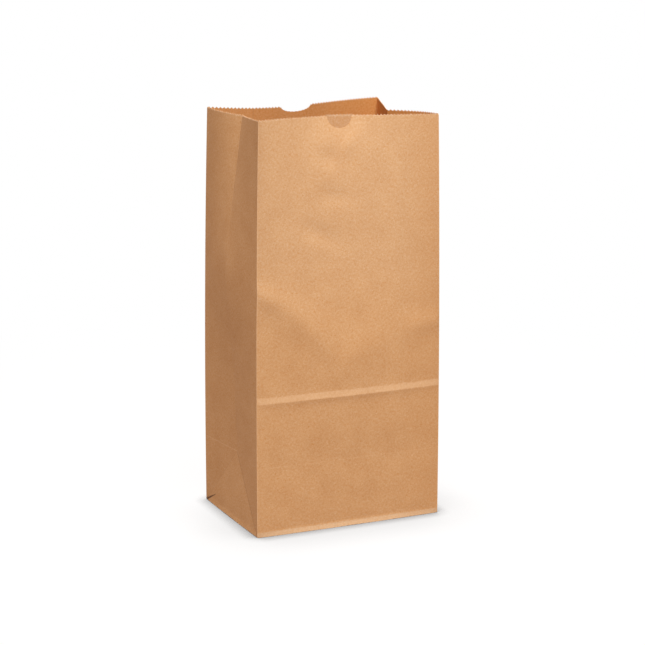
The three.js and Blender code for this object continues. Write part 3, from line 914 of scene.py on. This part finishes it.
def grained(tree, kraft, at, flocs, fibre, colour):
    """Colour times the grain, which acts on each channel by its own strength, with specks strewn over it."""
    flocs = maths(tree, "ADD", flocs, noise(tree, at.place, **FLECKS))
    grain = scaled(tree, flocs, kraft.formation, product(tree, fibre, kraft.fibre))
    grain = vector_maths(tree, "MULTIPLY_ADD", grain, GRAIN_TINT, (1, 1, 1))
    grain = vector_maths(tree, "MAXIMUM", grain, GRAIN_LEAST)
    colour = vector_maths(tree, "MULTIPLY", colour, grain)
    for form, tint in ((BARK_SPECKS, kraft.bark_and_shade), (PALE_SPECKS, kraft.worn_and_highlight)):
        colour = blend(tree, specks(tree, at.place, **form), colour, tint)
    return colour


def worn_and_highlit_folds(tree, kraft, at, folds, colour):
    """Pale rub along the folds, rub and painted highlight on the front's raised band, and a pale foot that
    is partly wear and partly painted highlight on the lip, all patchy with wear.
    """
    wear = maths(tree, "ADD", noise(tree, at.place, **WEAR), WEAR_MEAN)
    # The raised band's pale is partly rub and partly painted highlight where its flank faces the light.
    band_middle = scaled(tree, noise(tree, at.place, **WOBBLE), BAND_WOBBLE, RIDGE_HEIGHT + RIDGE_ABOVE / 2)
    raised = patch(tree, less(tree, at.up, band_middle), RIDGE_ABOVE / 2, BAND_SOFTNESS)
    rubbed_and_highlit = largest(
        tree, folds.front_edge, folds.back_edge,
        product(tree, folds.rear_knee, REAR_KNEE_SHARE),
        product(tree, folds.gusset, GUSSET_SHARE),
        product(tree, raised, at.on_front, BAND_SHARE),
        product(tree, folds.front_knee, FRONT_KNEE_SHARE),
    )
    colour = blend(tree, product(tree, rubbed_and_highlit, wear, at.outer, RUB_AND_HIGHLIGHT_SHARE), colour, kraft.worn_and_highlight)
    # The pale foot is partly wear and partly painted highlight on the outward lip.
    foot = product(tree, patch(tree, at.up, FOOT_WEAR_AND_HIGHLIGHT, FOOT_SOFTNESS), less(tree, 1.0, at.on_gusset))
    return blend(tree, product(tree, foot, wear, at.outer, FOOT_SHARE), colour, kraft.pale)


def painted_shade_lines(tree, sack, kraft, at, folds, colour):
    """Painted shade along the slanting creases, painted shadow along the seam's edge on each face, and
    painted shade in
    the slit at the rear left corner: a line that rises from the corner and narrows to nothing."""
    # Painted shade in the slanting creases.
    colour = blend(tree, product(tree, folds.slant, SLANT_SHADE_SHARE), colour, kraft.bark_and_shade)
    # Painted shadow along the seam's edge on each face.
    seam_start = 1.5 * sack.width + sack.depth - SEAM_LEFT
    off_seam = less(tree, at.around, scaled(tree, at.inner, -SEAM_WIDTH, seam_start))
    colour = blend(tree, product(tree, line(tree, off_seam, SEAM_LINE), SEAM_SHADOW_SHARE), colour, kraft.bark_and_shade)
    off_corner = less(tree, at.around, 2 * sack.width + sack.depth)
    half_width = scaled(tree, off_corner, -SLIT_HALF_WIDTH / SLIT_LENGTH, SLIT_HALF_WIDTH)
    slit = line(tree, less(tree, at.up, product(tree, off_corner, SLIT_RISE)), half_width)
    after = maths(tree, "GREATER_THAN", off_corner, 0.0)
    before = maths(tree, "LESS_THAN", off_corner, SLIT_LENGTH)
    return blend(tree, product(tree, slit, after, before, at.outer), colour, kraft.gap)


def cut_edges_and_tab_shade(tree, kraft, at, colour):
    """Pale fluff along the cut edges, and painted shade on the outer face of the tab behind the half-moon.
    """
    fluff = ramp(tree, noise(tree, at.place, **FLUFF), -FLUFF_SPREAD, FLUFF_SPREAD, FLUFF_LEAST, 1)
    colour = blend(tree, product(tree, attribute(tree, CUT_EDGE), fluff), colour, kraft.rim)
    # Painted shade on the tab's outer face behind the half-moon.
    return blend(tree, product(tree, attribute(tree, TAB_SHADE), TAB_SHADE_SHARE), colour, kraft.bark_and_shade)


def kraft_material(sack, kraft):
    """Brown kraft paper: cloudy fibre, scattered bark specks, pale rubbed folds and a pale cut edge, with
    painted sheen, highlight and shade.
    """
    material = bpy.data.materials.new("kraft paper")
    tree = empty_tree(material)
    at = sheet_places(tree, sack)
    folds = fold_lines(tree, sack, at)
    flocs = noise(tree, at.place, **FLOCS)
    fibre = maths(tree, "ADD", noise(tree, at.place, **LONG_FIBRE), noise(tree, at.place, **CROSS_FIBRE))
    colour = tone_sheen_and_shade(tree, sack, kraft, at)
    colour = grained(tree, kraft, at, flocs, fibre, colour)
    colour = worn_and_highlit_folds(tree, kraft, at, folds, colour)
    colour = painted_shade_lines(tree, sack, kraft, at, folds, colour)
    colour = cut_edges_and_tab_shade(tree, kraft, at, colour)
    groove = largest(tree, folds.slant, folds.gusset, folds.rear_knee)
    height = scaled(tree, groove, -GROOVE_RELIEF, scaled(tree, fibre, FIBRE_RELIEF, flocs))
    bump = add(tree, "ShaderNodeBump", {"Height": height, "Distance": kraft.relief, "Strength": 1.0})
    shader = add(tree, "ShaderNodeBsdfPrincipled", {
        "Base Color": colour, "Roughness": kraft.roughness, "Specular IOR Level": SPECULAR_LEVEL,
        "Normal": bump.outputs[0]})
    add(tree, "ShaderNodeOutputMaterial", {"Surface": shader.outputs[0]})
    return material


def seen_rays(tree):
    """1 for camera, glossy and transmission rays, and 0 for the rays that light the sack."""
    rays = add(tree, "ShaderNodeLightPath").outputs
    return largest(tree, rays["Is Camera Ray"], rays["Is Glossy Ray"], rays["Is Transmission Ray"])


def floor_material(studio):
    """Pale floor: plain white away from the sack for the camera, with the sack's shadow close to it.
    What the camera sees is part lit floor and part white, both dimmed where the sack crowds the floor."""
    material = bpy.data.materials.new("studio floor")
    tree = empty_tree(material)
    seen = seen_rays(tree)
    place = add(tree, "ShaderNodeTexCoord").outputs["Object"]
    away = add(tree, "ShaderNodeVectorMath", {0: place}, operation="LENGTH").outputs["Value"]
    far = ramp(tree, away, WHITE_FROM, WHITE_TO, 0, 1, "SMOOTHSTEP")
    near = openness(tree, {"Distance": studio.contact})
    ahead = openness(tree, {"Distance": studio.shadow, "Normal": SHADOW_FROM})
    back_to_front = add(tree, "ShaderNodeSeparateXYZ", {0: place}).outputs["Y"]
    depth = ramp(tree, back_to_front, SHADOW_START, SHADOW_FULL, 0, studio.shadow_depth)
    ahead = less(tree, 1.0, product(tree, depth, less(tree, 1.0, ahead)))
    kept = less(tree, 1.0, product(tree, seen, scaled(tree, far, LIT_SHARE, 1 - LIT_SHARE)))
    lit = blend(tree, kept, (0, 0, 0), studio.floor_colour)
    diffuse = add(tree, "ShaderNodeBsdfDiffuse", {"Color": lit})
    white = scaled(tree, far, 1 - studio.floor_lift, studio.floor_lift)
    glow = add(tree, "ShaderNodeEmission", {"Strength": product(tree, white, near, ahead, seen)})
    both = add(tree, "ShaderNodeAddShader", {0: diffuse.outputs[0], 1: glow.outputs[0]})
    add(tree, "ShaderNodeOutputMaterial", {"Surface": both.outputs[0]})
    return material


def studio_world(studio):
    """White for the camera and a plain soft fill for everything else."""
    world = bpy.data.worlds.new("studio")
    tree = empty_tree(world)
    seen = seen_rays(tree)
    background = add(tree, "ShaderNodeBackground", {
        "Color": blend(tree, seen, studio.fill_colour, (1, 1, 1)),
        "Strength": scaled(tree, seen, 1 - studio.fill, studio.fill)})
    add(tree, "ShaderNodeOutputWorld", {"Surface": background.outputs[0]})
    return world


def hang_lamp(scene, name, place, power, size):
    """Square area lamp that hangs at the place given and shines at the sack."""
    lamp = bpy.data.lights.new(name, "AREA")
    lamp.energy = power
    lamp.size = size
    hung = bpy.data.objects.new(name, lamp)
    hung.location = place
    hung.rotation_mode = "QUATERNION"
    hung.rotation_quaternion = (LAMP_AIM - place).to_track_quat("-Z", "Y")
    scene.collection.objects.link(hung)


class SackSettings(PropertyGroup):
    """Sizes of the paper sack."""

    width: FloatProperty(name="Width", description="Width of the base", default=0.2, unit="LENGTH")
    depth: FloatProperty(name="Depth", description="Depth of the base", default=0.14, unit="LENGTH")
    height: FloatProperty(
        name="Height", description="Height of the highest corner of the mouth",
        default=0.414, unit="LENGTH")
    paper: FloatProperty(
        name="Paper", description="Thickness of the sheet", default=0.00015, unit="LENGTH", precision=5)
    tooth_pitch: FloatProperty(
        name="Tooth Pitch", description="Distance between saw-cut teeth",
        default=0.0036, unit="LENGTH", precision=4)
    tooth_depth: FloatProperty(
        name="Tooth Depth", description="Depth of the notches in the cut edges",
        default=0.0016, unit="LENGTH")
    thumb_width: FloatProperty(
        name="Thumb Cut", description="Width of the cut in the back panel", default=0.037, unit="LENGTH")
    thumb_depth: FloatProperty(
        name="Thumb Cut Depth", description="Depth of the cut in the back panel",
        default=0.0062, unit="LENGTH")
    moon_width: FloatProperty(
        name="Half-moon", description="Width of the half-moon in the front panel",
        default=0.0268, unit="LENGTH")
    moon_depth: FloatProperty(
        name="Half-moon Depth", description="Depth of the half-moon in the front panel",
        default=0.012, unit="LENGTH")


class KraftSettings(PropertyGroup):
    """Colours and unevenness of the kraft paper."""

    light: FloatVectorProperty(
        name="Light", description="Lighter clouds of the sheet",
        subtype="COLOR", default=(0.69, 0.432, 0.219))
    # Shade is also the painted shade towards the front's right edge.
    shade: FloatVectorProperty(
        name="Shade", description="Darker clouds of the sheet",
        subtype="COLOR", default=(0.573, 0.317, 0.138))
    # Pale is painted sheen on the front's upper part, and the foot's tone, partly wear and partly painted
    # highlight on the lip.
    pale: FloatVectorProperty(
        name="Pale", description="The front's mouth and the foot",
        subtype="COLOR", default=(0.6, 0.5, 0.36))
    # Also the painted highlight on the front's raised band, beside the rubbed folds and pale specks.
    worn_and_highlight: FloatVectorProperty(
        name="Worn", description="Rubbed folds and pale specks",
        subtype="COLOR", default=(0.86, 0.62, 0.38))
    gap: FloatVectorProperty(
        name="Gap", description="Shade inside the open slit at the rear corner", subtype="COLOR",
        default=(0.1, 0.04, 0.015))
    rim: FloatVectorProperty(
        name="Rim", description="Fluffed fibre of the cut edge",
        subtype="COLOR", default=(0.9, 0.72, 0.5))
    # The inner face's darker, redder tone is painted shade inside the sack.
    inside: FloatVectorProperty(
        name="Inside", description="Inner face of the sheet", subtype="COLOR", default=(0.65, 0.31, 0.1))
    # Bark is also painted shade along the slanting creases and on the tab, and painted shadow along the
    # seam's edge.
    bark_and_shade: FloatVectorProperty(
        name="Bark", description="Bark specks, slanting creases and seam",
        subtype="COLOR", default=(0.3, 0.13, 0.05))
    cloudiness: FloatProperty(
        name="Cloudiness", description="Strength of the large clouds", default=1.1, subtype="FACTOR")
    formation: FloatProperty(
        name="Formation", description="Strength of the small flocs", default=0.4, subtype="FACTOR")
    fibre: FloatProperty(
        name="Fibre", description="Strength of single fibres", default=0.45, subtype="FACTOR")
    relief: FloatProperty(
        name="Relief", description="Height of the fibre relief",
        default=0.00004, unit="LENGTH", precision=6)
    roughness: FloatProperty(
        name="Roughness", description="Roughness of the paper", default=0.8, subtype="FACTOR")


class StudioSettings(PropertyGroup):
    """Floor, light and camera of the studio."""

    key: FloatProperty(name="Key", description="Power of the key lamp", default=104, unit="POWER")
    back: FloatProperty(name="Back", description="Power of the lamp behind", default=18, unit="POWER")
    lamp_size: FloatProperty(
        name="Lamp Size", description="Width of each lamp", default=1.1, unit="LENGTH")
    fill: FloatProperty(name="Fill", description="Strength of the soft fill all round", default=0.39)
    fill_colour: FloatVectorProperty(
        name="Fill Colour", description="Colour of the soft fill",
        subtype="COLOR", default=(1, 0.67, 0.54))
    floor_colour: FloatVectorProperty(
        name="Floor", description="Light that the floor gives back",
        subtype="COLOR", default=(0.41, 0.35, 0.31))
    floor_lift: FloatProperty(
        name="Floor Lift", description="White added to the floor for the camera",
        default=0.96, subtype="FACTOR")
    contact: FloatProperty(
        name="Contact", description="Reach of the shadow all round the sack",
        default=0.016, unit="LENGTH")
    shadow: FloatProperty(
        name="Shadow", description="Reach of the shadow before the sack", default=0.07, unit="LENGTH")
    shadow_depth: FloatProperty(
        name="Shadow Depth", description="Depth of the shadow before the sack",
        default=0.42, subtype="FACTOR")
    lens: FloatProperty(name="Lens", description="Focal length", default=107.46, unit="CAMERA")


class SACK_OT_paper(Operator):
    """Makes the folded paper sheet of the sack, with its tab behind the half-moon"""

    bl_idname = "paper_sack.make_paper"
    bl_label = "Make Paper"

    def execute(self, context):
        sack = context.scene.paper_sack
        material = kraft_material(sack, context.scene.paper_sack_kraft)
        vertices, quads, u, v, near, inside, crease = sack_sheet(sack)
        tab = moon_tab(sack)
        quads = np.concatenate([quads, tab[1] + len(vertices)])
        behind = np.repeat([0.0, 1.0], len(tab[0]) // 2)
        # The tab's outer face gets painted shade.
        tone = np.concatenate([np.zeros(len(vertices)), 1 - behind])
        vertices = np.concatenate([vertices, tab[0]])
        u, v, near = [np.concatenate(pair) for pair in zip((u, v, near), tab[2:])]
        crease = np.concatenate([crease, np.zeros(len(tab[0]), bool)])
        inside = np.concatenate([inside, behind])
        mesh, quads, triangles = make_mesh("paper_sack", vertices, quads)
        write_sheet_map(mesh, quads, triangles, u, v, 2 * (sack.width + sack.depth))
        write_numbers(mesh, CUT_EDGE, near)
        write_numbers(mesh, TAB_SHADE, tone)
        write_numbers(mesh, INNER_FACE, inside)
        mark_creases(mesh, crease)
        mesh.materials.append(material)
        mesh.validate()
        piece = bpy.data.objects.new("paper_sack", mesh)
        context.scene.collection.objects.link(piece)
        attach(piece, "root")
        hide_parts(SACK_NODE)
        return {"FINISHED"}


class SACK_OT_studio(Operator):
    """Makes the white floor, the soft light and the camera"""

    bl_idname = "paper_sack.make_studio"
    bl_label = "Make Studio"

    def execute(self, context):
        scene = context.scene
        studio = scene.paper_sack_studio
        mesh = bpy.data.meshes.new("studio_floor")
        angle = np.linspace(0, 2 * math.pi, FLOOR_SIDES, endpoint=False)
        rim = np.stack([np.cos(angle), np.sin(angle), 0 * angle], axis=-1) * FLOOR_RADIUS
        mesh.from_pydata(rim, [], [list(range(FLOOR_SIDES))])
        floor = bpy.data.objects.new("studio_floor", mesh)
        mesh.materials.append(floor_material(studio))
        scene.collection.objects.link(floor)
        hang_lamp(scene, "key", KEY_PLACE, studio.key, studio.lamp_size)
        hang_lamp(scene, "back", BACK_PLACE, studio.back, studio.lamp_size)
        scene.world = studio_world(studio)
        camera = bpy.data.objects.new("camera", bpy.data.cameras.new("camera"))
        camera.data.lens = studio.lens
        camera.data.sensor_width = SENSOR_WIDTH
        camera.location = CAMERA_PLACE
        camera.rotation_mode = "QUATERNION"
        forward = Vector((
            math.sin(CAMERA_YAW) * math.cos(CAMERA_PITCH),
            math.cos(CAMERA_YAW) * math.cos(CAMERA_PITCH),
            -math.sin(CAMERA_PITCH),
        ))
        camera.rotation_quaternion = forward.to_track_quat("-Z", "Y")
        scene.collection.objects.link(camera)
        scene.camera = camera
        scene.view_settings.view_transform = "Standard"
        return {"FINISHED"}


class SACK_PT_panel(Panel):
    """Sizes, colours and buttons of the paper sack"""

    bl_idname = "SACK_PT_panel"
    bl_label = "Paper Sack"
    bl_space_type = "VIEW_3D"
    bl_region_type = "UI"
    bl_category = "Paper Sack"

    def draw(self, context):
        scene = context.scene
        for settings in (scene.paper_sack, scene.paper_sack_kraft, scene.paper_sack_studio):
            column = self.layout.box().column()
            for name in settings.__annotations__:
                column.prop(settings, name)
        self.layout.operator(SACK_OT_paper.bl_idname)
        self.layout.operator(SACK_OT_studio.bl_idname)


CLASSES = (SackSettings, KraftSettings, StudioSettings, SACK_OT_paper, SACK_OT_studio, SACK_PT_panel)


def register():
    for new_class in CLASSES:
        bpy.utils.register_class(new_class)
    bpy.types.Scene.paper_sack = PointerProperty(type=SackSettings)
    bpy.types.Scene.paper_sack_kraft = PointerProperty(type=KraftSettings)
    bpy.types.Scene.paper_sack_studio = PointerProperty(type=StudioSettings)


def unregister():
    del bpy.types.Scene.paper_sack_studio
    del bpy.types.Scene.paper_sack_kraft
    del bpy.types.Scene.paper_sack
    for old_class in reversed(CLASSES):
        bpy.utils.unregister_class(old_class)


def main():
    register()
    bpy.ops.paper_sack.make_paper()
    bpy.ops.paper_sack.make_studio()


if __name__ == "__main__":
    main()
